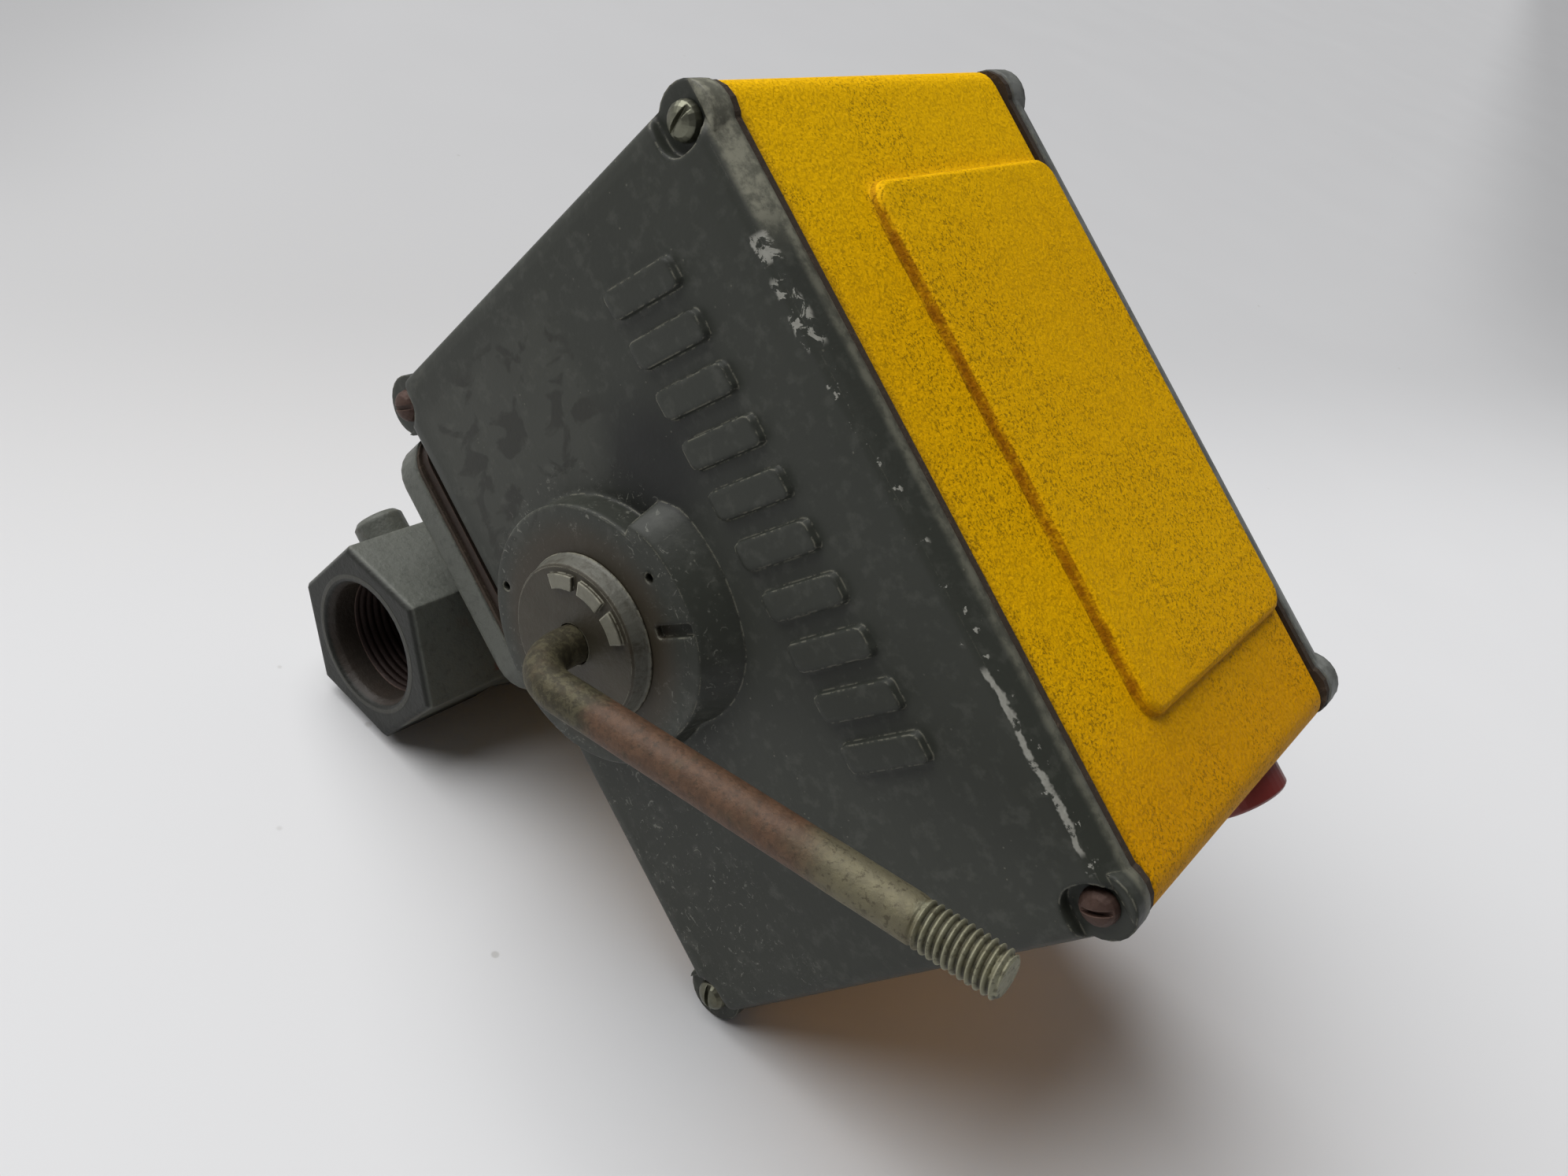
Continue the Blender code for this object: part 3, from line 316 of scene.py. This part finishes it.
def cast_iron(name, light, dark, rust_amount=0.25):
    g = Graph(name)
    x, y, z = g.xyz()
    base = g.mix(g.noise(46, 6, 0.62), light, dark)
    base = g.mix(g.mul(g.step(g.noise(420, 5, 0.7), 0.50, 0.70), 0.5), base, scaled(dark, 0.62))
    rust = g.mul(g.step(g.noise(70, 5, 0.65, 0.5), 0.60, 0.74), rust_amount)
    base = g.mix(rust, base, srgb(98, 66, 42))
    # the bores are browner than the outside
    radial = g.math("SQRT", g.add(g.mul(x, x), g.mul(z, z)))
    bore = g.mul(g.step(radial, 0.0190, 0.0178), g.step(z, 0.030, 0.026))
    base = g.mix(g.mul(bore, 0.9), base, g.mix(g.noise(150, 4), srgb(58, 46, 39), srgb(40, 35, 30)))
    wear = g.mul(g.edge(0.0012, 0.03, 0.16), g.step(g.noise(260, 5, 0.7), 0.42, 0.56))
    base = g.mix(g.mul(wear, 0.60), base, srgb(132, 132, 120))
    # painted shade: both end faces of the hub darkened; the mouth ring sits on them
    face = g.math("MAXIMUM", g.step(y, 0.0012, 0.0004), g.step(y, 0.1188, 0.1196))
    ring = g.mul(face, g.band(radial, 0.0190, 0.0199, 0.0004))
    base = g.mix(g.mul(face, 0.95), base, srgb(28, 29, 24))
    # painted shade on the hub's downward hex facet, below the housing
    under_facet_shade = g.mul(g.step(g.along((0.866, 0.0, -0.5)), 0.0222, 0.0236), g.step(z, 0.034, 0.030))
    base = g.mix(g.mul(under_facet_shade, 0.85), base, srgb(24, 25, 20))
    base = g.mix(g.mul(ring, 0.5), base, srgb(78, 77, 69))
    spot = g.mul(g.step(g.distance((0.0205, 0.026, 0.0145)), 0.0042, 0.0018), g.step(g.noise(500, 4), 0.40, 0.60))
    base = g.mix(g.mul(spot, 0.8), base, srgb(110, 44, 30))
    rough = g.mixf(g.noise(120, 4), 0.40, 0.56)
    height = g.add(g.mul(g.noise(700, 5, 0.65), 0.9), g.mul(g.noise(120, 4), 1.1), g.mul(ring, 0.8))
    normal = g.bump(height, 0.55, 0.00045, g.rounded(0.0016, 8))
    return g.finish(base, rough, 0.05, normal, spec=0.32)


def metal(name, light, dark, rough=(0.28, 0.5), grain=0.25, tarnish=None, amount=0.3, metallic=0.9, brushed=(1, 1, 1)):
    g = Graph(name)
    vec = g.mapping(brushed)
    base = g.mix(g.noise(300, 5, 0.65, 0.0, vec), light, dark)
    if tarnish:
        base = g.mix(g.mul(g.step(g.noise(160, 5, 0.65, 0.4), 0.50, 0.70), amount), base, tarnish)
    base = g.mix(g.mul(g.step(g.noise(1300, 3, 0.6), 0.55, 0.72), 0.35), base, scaled(dark, 0.6))
    wear = g.edge(0.0005, 0.04, 0.30)
    base = g.mix(g.mul(wear, 0.35), base, scaled(light, 1.35))
    r = g.mixf(g.noise(420, 4), *rough)
    normal = g.bump(g.add(g.noise(1500, 4, 0.6, 0.0, vec), g.mul(g.noise(220, 3), 0.6)), grain, 0.00012, g.rounded(0.0003))
    return g.finish(base, r, metallic, normal)


ROD_DIR = Vector((math.cos(math.radians(43.6)), 0.0, math.sin(math.radians(43.6))))
SHAFT = Vector((0.02975, 0.0, 0.0862))


def rod_finish():
    """Dull chromate plating: dark olive at the bend, a handled rusty-brown stretch, olive beyond it and brighter on the
    thread.
    """
    g = Graph("rod_plating")
    s = g.along(tuple(ROD_DIR), SHAFT.dot(ROD_DIR))
    wob = g.mul(g.math("SUBTRACT", g.noise(120, 4, 0.6), 0.5), 0.016)
    s = g.add(s, wob)
    base = g.mix(g.noise(240, 5, 0.65), srgb(66, 62, 46), srgb(52, 47, 34))
    brown = g.mul(g.step(s, 0.021, 0.027), g.step(s, 0.072, 0.092, 1.0, 0.0))
    base = g.mix(g.mul(brown, g.mixf(g.noise(300, 5, 0.7), 0.72, 1.0)), base, g.mix(g.noise(500, 4), srgb(94, 68, 50), srgb(74, 52, 38)))
    olive = g.step(s, 0.074, 0.092)
    base = g.mix(g.mul(olive, 0.9), base, g.mix(g.noise(420, 5), srgb(98, 92, 72), srgb(116, 111, 90)))
    thread = g.step(s, 0.1035, 0.1055)
    base = g.mix(thread, base, g.mix(g.noise(600, 4), srgb(128, 126, 104), srgb(152, 150, 128)))
    root = g.mul(g.step(g.axis_distance((SHAFT.x, -0.0184, SHAFT.z), tuple(ROD_DIR)), 0.00462, 0.00398), thread, g.step(s, 0.1216, 0.1208))
    base = g.mix(g.mul(root, 0.85), base, srgb(44, 42, 32))
    mottle = g.step(g.noise(420, 6, 0.75, 0.4), 0.46, 0.58)
    base = g.mix(g.mul(mottle, 0.28), base, g.mix(brown, srgb(118, 112, 84), srgb(116, 86, 64)))
    grime = g.step(g.noise(800, 5, 0.7), 0.53, 0.64)
    base = g.mix(g.mul(grime, 0.55), base, srgb(52, 44, 32))
    dark = g.mul(g.step(g.noise(90, 4, 0.6, 0.7), 0.56, 0.70), 0.5)
    base = g.mix(dark, base, srgb(80, 68, 50))
    edge = g.mul(g.edge(0.0003, 0.05, 0.35), thread)
    base = g.mix(g.mul(edge, 0.5), base, srgb(214, 212, 194))
    rough = g.mixf(g.noise(300, 4), 0.48, 0.68)
    metallic = g.mixf(brown, 0.40, 0.12)
    normal = g.bump(g.add(g.noise(900, 5, 0.65), g.mul(g.noise(160, 3), 1.4)), 0.55, 0.00030)
    return g.finish(base, rough, metallic, normal, spec=0.35)


def rotor_finish():
    """The turning disc: grey paint rubbed through to bare grey metal on its rim and raised marks, brown grime between."""
    g = Graph("rotor_worn_paint")
    y = g.xyz()[1]
    base = g.mix(g.noise(90, 5, 0.6), srgb(50, 45, 33), srgb(64, 59, 45))
    wall = g.step(y, -0.0029, -0.0024)
    base = g.mix(g.mul(wall, 0.65), base, srgb(112, 112, 103))
    grime = g.step(g.noise(260, 5, 0.7, 0.4), 0.48, 0.66)
    base = g.mix(g.mul(grime, 0.6), base, srgb(56, 48, 35))
    raised = g.step(y, -0.0036, -0.0041)
    base = g.mix(g.mul(raised, 0.75), base, g.mix(g.noise(500, 4), srgb(146, 144, 130), srgb(118, 116, 100)))
    wear = g.mul(g.edge(0.0008, 0.03, 0.16), g.step(g.noise(380, 5, 0.7), 0.38, 0.52))
    base = g.mix(g.mul(wear, 0.85), base, srgb(168, 165, 146))
    rough = g.mixf(g.noise(200, 4), 0.38, 0.60)
    normal = g.bump(g.add(g.noise(900, 5, 0.65), g.mul(g.noise(200, 3), 1.2)), 0.40, 0.00028, g.rounded(0.0006))
    return g.finish(base, rough, 0.20, normal)


def rusted(name, light, dark):
    g = Graph(name)
    base = g.mix(g.noise(240, 6, 0.7, 0.5), light, dark)
    base = g.mix(g.mul(g.step(g.noise(900, 4, 0.7), 0.52, 0.68), 0.5), base, srgb(56, 36, 28))
    edge = g.edge(0.0005, 0.04, 0.30)
    base = g.mix(g.mul(edge, 0.4), base, srgb(150, 122, 108))
    rough = g.mixf(g.noise(400, 4), 0.45, 0.72)
    normal = g.bump(g.noise(1100, 5, 0.7), 0.5, 0.00022, g.rounded(0.0004))
    return g.finish(base, rough, 0.45, normal)


def gasket_finish():
    g = Graph("gasket_fibre")
    base = g.mix(g.noise(260, 6, 0.7), srgb(74, 62, 50), srgb(40, 33, 27))
    base = g.mix(g.mul(g.step(g.noise(700, 4, 0.7), 0.55, 0.70), 0.6), base, srgb(98, 84, 70))
    normal = g.bump(g.noise(1200, 5, 0.7), 0.7, 0.0003)
    return g.finish(base, g.mixf(g.noise(300, 3), 0.75, 0.92), 0.0, normal, spec=0.3)


def plastic(name, light, dark, rough=(0.3, 0.45), spec=0.5):
    g = Graph(name)
    base = g.mix(g.noise(80, 4, 0.6), light, dark)
    base = g.mix(g.mul(g.step(g.noise(600, 5, 0.7), 0.60, 0.74), 0.35), base, scaled(light, 1.5))
    normal = g.bump(g.add(g.noise(1400, 3), g.mul(g.noise(180, 2), 0.7)), 0.18, 0.00012, g.rounded(0.0006))
    return g.finish(base, g.mixf(g.noise(140, 4), *rough), 0.0, normal, spec=spec)


def winding():
    g = Graph("coil_winding")
    w = g.tree.nodes.new("ShaderNodeTexWave")
    w.bands_direction = "Z"
    w.inputs["Scale"].default_value = 420
    w.inputs["Distortion"].default_value = 0.6
    g.link(g.coord, w.inputs["Vector"])
    base = g.mix(w.outputs["Fac"], srgb(112, 58, 30), srgb(176, 104, 58))
    base = g.mix(g.mul(g.step(g.noise(200, 4), 0.5, 0.7), 0.4), base, srgb(84, 46, 28))
    return g.finish(base, g.mixf(g.noise(200, 3), 0.3, 0.5), 0.5, g.bump(w.outputs["Fac"], 0.6, 0.0003))


M = {
    "cover": grey_paint("cover_grey_paint"),
    "back": grey_paint("back_grey_paint", False),
    "yellow": yellow_enamel(),
    "iron": cast_iron("cast_iron_body", srgb(100, 102, 95), srgb(80, 82, 75)),
    "rod": rod_finish(),
    "rotor": rotor_finish(),
    "zinc": metal("dull_zinc", srgb(128, 128, 112), srgb(98, 98, 84), tarnish=srgb(84, 74, 52)),
    "steel": metal("machined_steel", srgb(150, 150, 148), srgb(120, 120, 118), tarnish=srgb(96, 84, 70), amount=0.2, brushed=(1, 1, 6)),
    "rust": rusted("rusted_steel", srgb(88, 66, 56), srgb(60, 43, 37)),
    "plate": rusted("bonnet_rust", srgb(58, 45, 36), srgb(42, 34, 28)),
    "brass": metal("brass", srgb(190, 156, 84), srgb(150, 118, 60), tarnish=srgb(104, 80, 40)),
    "gasket": gasket_finish(),
    "bore": rusted("bore_rust", srgb(60, 45, 40), srgb(44, 34, 31)),
    "red": plastic("dark_red_plastic", srgb(132, 52, 46), srgb(112, 40, 36)),
    "black": plastic("black_plastic", srgb(38, 38, 38), srgb(28, 28, 28), (0.4, 0.6)),
    "graphite": plastic("graphite", srgb(52, 52, 52), srgb(38, 38, 38), (0.5, 0.7)),
    "coil": winding(),
}
USE = {
    "front_cover": "cover", "back_cover": "back", "housing": "yellow", "valve_body": "iron", "rotor_disc": "rotor", "handle_rod": "rod",
    "bonnet": "plate", "conduit_plug": "red", "switch_plunger_closed": "red", "switch_plunger_open": "red", "magnet_coil": "coil",
    "switch_closed": "black", "switch_open": "black", "terminal_block": "black", "stem_packing": "graphite",
    "front_gasket": "gasket", "back_gasket": "gasket", "bonnet_gasket": "gasket", "gland_nut": "brass", "shaft_bush_front": "brass",
    "shaft_bush_rear": "brass", "front_screw_top_left": "zinc", "front_screw_bottom_left": "rust", "front_screw_bottom_right": "zinc",
    "front_screw_top_right": "rust",
}
for name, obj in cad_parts.items():
    key = USE.get(name)
    if key is None:
        if name.startswith("terminal_screw"):
            key = "brass"
        elif name in ("seat_ring", "valve_disc", "stem", "closing_spring", "shaft_ring", "lift_cam", "stop_pin", "latch_pin", "magnet_core", "magnet_yoke") or name.startswith("bonnet_bolt"):
            key = "steel"
        else:
            key = "zinc"
    for slot in obj.material_slots:
        slot.material = M[key]


# ------------------------------------------------------------------ mesh helpers
def make(name, verts, faces, mat, smooth=True, sharp=35):
    mesh = bpy.data.meshes.new(name)
    mesh.from_pydata([tuple(v) for v in verts], [], faces)
    bm = bmesh.new()
    bm.from_mesh(mesh)
    bmesh.ops.recalc_face_normals(bm, faces=bm.faces)
    bm.to_mesh(mesh)
    bm.free()
    mesh.materials.append(mat)
    if smooth:
        mesh.shade_smooth()
        mesh.set_sharp_from_angle(angle=math.radians(sharp))
    obj = bpy.data.objects.new(name, mesh)
    bpy.context.scene.collection.objects.link(obj)
    return obj


def skin(rings, caps=True, closed=False):
    n = len(rings[0])
    verts = [p for r in rings for p in r]
    faces = []
    rows = len(rings)
    for i in range(rows if closed else rows - 1):
        a, b = i * n, ((i + 1) % rows) * n
        for k in range(n):
            j = (k + 1) % n
            faces.append((a + k, a + j, b + j, b + k))
    if caps and not closed:
        faces.append(tuple(range(n)))
        faces.append(tuple(reversed(range((rows - 1) * n, rows * n))))
    return verts, faces


def wobble(*args):
    """Small smooth irregularity between -1 and 1."""
    t = 0.0
    for i, a in enumerate(args):
        t += math.sin(a * (1.7 + 0.61 * i) + 1.3 * i) + 0.5 * math.sin(a * (3.9 + 0.37 * i) + 2.1 * i)
    return t / (1.5 * len(args))


# ------------------------------------------------------------------ handle rod with its rolled thread
ROD_R, ROD_Y, BEND = 4.755, -18.4, 12.0
THREAD_FROM, ROD_END, PITCH, DEPTH = 104.6, 121.95, 1.5875, 0.92


def rod():
    x0, z0 = SHAFT.x * 1000, SHAFT.z * 1000
    stations = []  # (centre, tangent, along)
    for k in range(8):
        yy = 0.85 + (ROD_Y + BEND - 0.85) * k / 8
        stations.append((Vector((x0, yy, z0)), Vector((0, -1, 0)), None))
    for k in range(19):
        a = math.radians(90 * k / 18)
        al = BEND * (1 - math.cos(a))
        out = ROD_Y + BEND * (1 - math.sin(a))
        stations.append((Vector((x0, out, z0)) + ROD_DIR * al, (Vector((0, -1, 0)) * math.cos(a) + ROD_DIR * math.sin(a)).normalized(), None))
    s = BEND + 1.5
    while s < ROD_END - 1e-6:
        stations.append((Vector((x0, ROD_Y, z0)) + ROD_DIR * s, ROD_DIR.copy(), s))
        s += 1.5 if s < THREAD_FROM - 2.0 else 0.11
    stations.append((Vector((x0, ROD_Y, z0)) + ROD_DIR * ROD_END, ROD_DIR.copy(), ROD_END))
    n = 48
    side = Vector((0, 0, 1)).cross(Vector((0, -1, 0))).normalized()
    rings = []
    for c, t, s in stations:
        side = (side - t * side.dot(t)).normalized()
        up = t.cross(side)
        ring = []
        for k in range(n):
            th = 2 * math.pi * k / n
            r = ROD_R
            if s is None or s < THREAD_FROM:
                r -= 0.06 + 0.05 * wobble(th * 1.0, (s or 0) * 0.11)
            if s is not None and s > THREAD_FROM - 1.5:
                ph = ((s / PITCH) - th / (2 * math.pi)) % 1.0
                tooth = abs(ph - 0.5) * 2.0
                tooth = min(1.0, max(0.0, (tooth - 0.12) / 0.76))
                fade = min(1.0, max(0.0, (s - THREAD_FROM + 1.5) / 2.0))
                r -= DEPTH * tooth * fade * (0.94 + 0.06 * math.sin(3.1 * th + s))
            if s is not None and s > ROD_END - 1.0:
                r = min(r, ROD_R - 1.0 + (ROD_END - s) * 1.0)
            ring.append((c + side * (r * math.cos(th)) + up * (r * math.sin(th))) * MM)
        rings.append(ring)
    # end face, dished slightly where it was sheared
    c, t, _ = stations[-1]
    for f in (0.82, 0.45, 0.12):
        ring = []
        for k in range(n):
            th = 2 * math.pi * k / n
            up = t.cross(side)
            r = (ROD_R - 1.0) * f
            ring.append((c - t * (0.10 + 0.05 * wobble(th, f * 9)) + side * (r * math.cos(th)) + up * (r * math.sin(th))) * MM)
        rings.append(ring)
    obj = make("threaded_handle_rod", *skin(rings), M["rod"], sharp=50)
    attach(obj, "handle")
    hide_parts("handle_rod")


rod()


# ------------------------------------------------------------------ pipe threads inside both hubs
def port_thread(name, y0, y1, r0, r1):
    pitch, depth, n = 2.2, 0.38, 72
    rings = []
    steps = int(abs(y1 - y0) / 0.22)
    for i in range(steps + 1):
        f = i / steps
        yy = y0 + (y1 - y0) * f
        ring = []
        for k in range(n):
            th = 2 * math.pi * k / n
            ph = (yy / pitch - th / (2 * math.pi)) % 1.0
            tooth = 1.0 - abs(ph - 0.5) * 2.0
            fade = min(1.0, i / 6.0, (steps - i) / 6.0)
            r = r0 + (r1 - r0) * f - 0.10 - depth * min(1.0, tooth * 1.25) * fade
            ring.append(Vector((r * math.cos(th), yy, r * math.sin(th))) * MM)
        rings.append(ring)
    for yy, r in ((y1, r1 - 0.03), (y0, r0 - 0.03)):
        rings.append([Vector((r * math.cos(2 * math.pi * k / n), yy, r * math.sin(2 * math.pi * k / n))) * MM for k in range(n)])
    obj = make(name, *skin(rings, closed=True), M["bore"], sharp=60)
    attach(obj, "valve")


port_thread("inlet_thread", 8.5, 20.5, 16.83, 16.51)
port_thread("outlet_thread", 111.5, 99.5, 16.83, 16.51)


# ------------------------------------------------------------------ table, light and camera
ACROSS = Vector((0.64935, 0.64642, 0.40060))  # left to right on the table as the camera sees it
AWAY = Vector((-0.55015, 0.76298, -0.33940))  # and away from it


def floor():
    g = Graph("table_white")
    base = g.mix(g.noise(3, 4, 0.6), srgb(220, 220, 221), srgb(223, 223, 224))
    # the sheet turns up behind the part, and its far side and corners take less light
    a, b = g.along(tuple(ACROSS), TARGET.dot(ACROSS)), g.along(tuple(AWAY), TARGET.dot(AWAY))
    far = g.step(g.math("MULTIPLY_ADD", a, -0.5, b), 0.07, 0.34)
    base = g.mix(g.mul(far, 0.22), base, srgb(2, 2, 4))
    left = g.mul(g.step(a, -0.24, -0.42), g.step(b, 0.15, 0.30))
    right = g.mul(g.step(g.math("MULTIPLY_ADD", b, -0.55, a), 0.13, 0.34), g.step(b, 0.25, 1.0))
    base = g.mix(g.mul(g.math("MAXIMUM", left, right), 0.24), base, srgb(2, 2, 4))
    specks = g.step(g.voronoi(26), 0.035, 0.018)
    base = g.mix(g.mul(specks, g.step(g.noise(9, 2), 0.52, 0.60), 0.4), base, srgb(150, 146, 136))
    mat = g.finish(base, g.mixf(g.noise(12, 3), 0.55, 0.70), 0.0, None, spec=0.3)
    # seen from below, the table is not there
    out = g.tree.nodes["Material Output"]
    geo = g.tree.nodes.new("ShaderNodeNewGeometry")
    clear = g.tree.nodes.new("ShaderNodeBsdfTransparent")
    pick = g.tree.nodes.new("ShaderNodeMixShader")
    g.link(geo.outputs["Backfacing"], pick.inputs["Fac"])
    g.link(g.bsdf.outputs["BSDF"], pick.inputs[1])
    g.link(clear.outputs["BSDF"], pick.inputs[2])
    g.link(pick.outputs["Shader"], out.inputs["Surface"])
    u = UP.orthogonal().normalized()
    v = UP.cross(u)
    centre = TARGET + UP * (-0.02720 - TARGET.dot(UP))
    half = 14.0
    corners = [centre + u * (a * half) + v * (b * half) for a, b in ((-1, -1), (1, -1), (1, 1), (-1, 1))]
    mesh = bpy.data.meshes.new("table")
    mesh.from_pydata([tuple(c) for c in corners], [], [(0, 1, 2, 3)])
    mesh.update()
    if mesh.polygons[0].normal.dot(UP) < 0:
        mesh.flip_normals()
    mesh.materials.append(mat)
    obj = bpy.data.objects.new("table", mesh)
    bpy.context.scene.collection.objects.link(obj)


floor()

world = bpy.data.worlds.new("studio")
bpy.context.scene.world = world
world.use_nodes = True
world.node_tree.nodes["Background"].inputs["Color"].default_value = (0.95, 0.96, 1.0, 1.0)
world.node_tree.nodes["Background"].inputs["Strength"].default_value = 0.10

CAM_LOC = Vector((47.278, -179.893, 319.349)) * MM
RIGHT = Vector((0.464248, 0.617288, 0.63516)).normalized()
DOWN = Vector((0.885397, -0.304528, -0.351191)).normalized()
AHEAD = Vector((-0.023362, 0.725409, -0.687922)).normalized()


def area(name, where, size, power, colour=(1, 1, 1), aim=None, spread=180):
    data = bpy.data.lights.new(name, "AREA")
    data.shape = "RECTANGLE"
    data.size, data.size_y = size
    data.energy = power
    data.color = colour
    data.spread = math.radians(spread)
    obj = bpy.data.objects.new(name, data)
    obj.location = where
    obj.rotation_mode = "QUATERNION"
    obj.rotation_quaternion = ((aim or TARGET) - where).to_track_quat("-Z", "Y")
    bpy.context.scene.collection.objects.link(obj)
    return obj


def sun(name, toward, power, angle, colour=(1, 1, 1)):
    data = bpy.data.lights.new(name, "SUN")
    data.energy = power
    data.angle = math.radians(angle)
    data.color = colour
    obj = bpy.data.objects.new(name, data)
    obj.location = TARGET + toward * 1.5
    obj.rotation_mode = "QUATERNION"
    obj.rotation_quaternion = (-toward).to_track_quat("-Z", "Y")
    bpy.context.scene.collection.objects.link(obj)


sun("overhead_tent", (UP - ACROSS * 0.68 + AWAY * 0.30).normalized(), 3.55, 70)
area("left_softbox", TARGET - ACROSS * 0.75 + UP * 0.60 + AWAY * 0.30, (0.5, 0.6), 0.4)
area("right_softbox", TARGET + ACROSS * 0.80 + UP * 0.60 + AWAY * 0.20, (0.5, 0.6), 0.25)

cam_data = bpy.data.cameras.new("camera")
cam_data.sensor_fit = "HORIZONTAL"
cam_data.sensor_width = 36.0
cam_data.lens = 29.6884
cam_data.clip_start = 0.01
cam_data.clip_end = 60.0
camera = bpy.data.objects.new("camera", cam_data)
camera.matrix_world = Matrix(
    (
        (RIGHT.x, -DOWN.x, -AHEAD.x, CAM_LOC.x),
        (RIGHT.y, -DOWN.y, -AHEAD.y, CAM_LOC.y),
        (RIGHT.z, -DOWN.z, -AHEAD.z, CAM_LOC.z),
        (0, 0, 0, 1),
    )
)
bpy.context.scene.collection.objects.link(camera)
bpy.context.scene.camera = camera
bpy.context.scene.view_settings.view_transform = "Standard"
bpy.context.scene.view_settings.look = "None"
